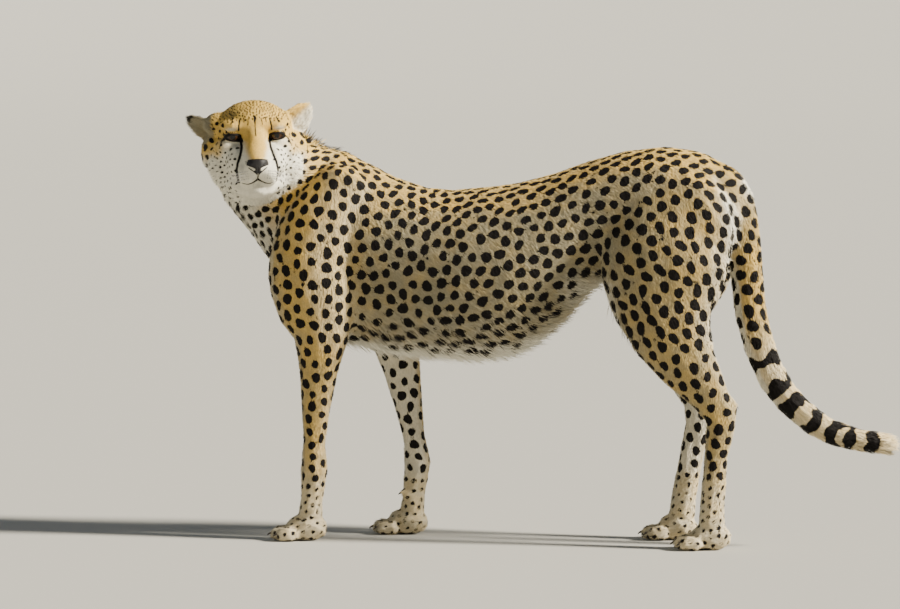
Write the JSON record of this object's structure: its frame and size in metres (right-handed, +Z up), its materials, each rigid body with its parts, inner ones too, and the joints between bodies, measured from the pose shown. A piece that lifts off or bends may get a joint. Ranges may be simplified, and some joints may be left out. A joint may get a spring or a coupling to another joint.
{
  "type": "cheetah model",
  "caption": "Life-size still model of a standing adult cheetah, its head turned over the left shoulder and its tail hanging; it rests on four paws.",
  "frame": {"origin": "on the floor, under the middle of the animal's bounding box", "axes": "+X from head to tail along the body, +Z up; the animal's left side faces -Y"},
  "size_m": [1.3376, 0.3572, 0.8357],
  "materials": {
    "coat": "short tawny fur with solid black spots, white beneath",
    "nose_leather": "moist black nose leather",
    "eye": "wet amber-brown eye with a round pupil",
    "claw": "dark worn horn"
  },
  "bodies": {
    "root": {"ear_left": "coat", "ear_right": "coat", "eye_left": "eye", "eye_right": "eye", "forearm_left": "coat", "forearm_right": "coat", "forepaw_left": "coat", "forepaw_left_claw_1": "claw", "forepaw_left_claw_2": "claw", "forepaw_left_claw_3": "claw", "forepaw_left_claw_4": "claw", "forepaw_left_claw_5": "claw", "forepaw_right": "coat", "forepaw_right_claw_1": "claw", "forepaw_right_claw_2": "claw", "forepaw_right_claw_3": "claw", "forepaw_right_claw_4": "claw", "forepaw_right_claw_5": "claw", "head": "coat", "hindpaw_left": "coat", "hindpaw_left_claw_1": "claw", "hindpaw_left_claw_2": "claw", "hindpaw_left_claw_3": "claw", "hindpaw_left_claw_4": "claw", "hindpaw_right": "coat", "hindpaw_right_claw_1": "claw", "hindpaw_right_claw_2": "claw", "hindpaw_right_claw_3": "claw", "hindpaw_right_claw_4": "claw", "neck": "coat", "nose": "nose_leather", "shank_left": "coat", "shank_right": "coat", "tail_lower": "coat", "tail_root": "coat", "tail_tip": "coat", "tail_upper": "coat", "thigh_left": "coat", "thigh_right": "coat", "trunk": "coat", "upper_arm_left": "coat", "upper_arm_right": "coat"}
  },
  "joints": []
}
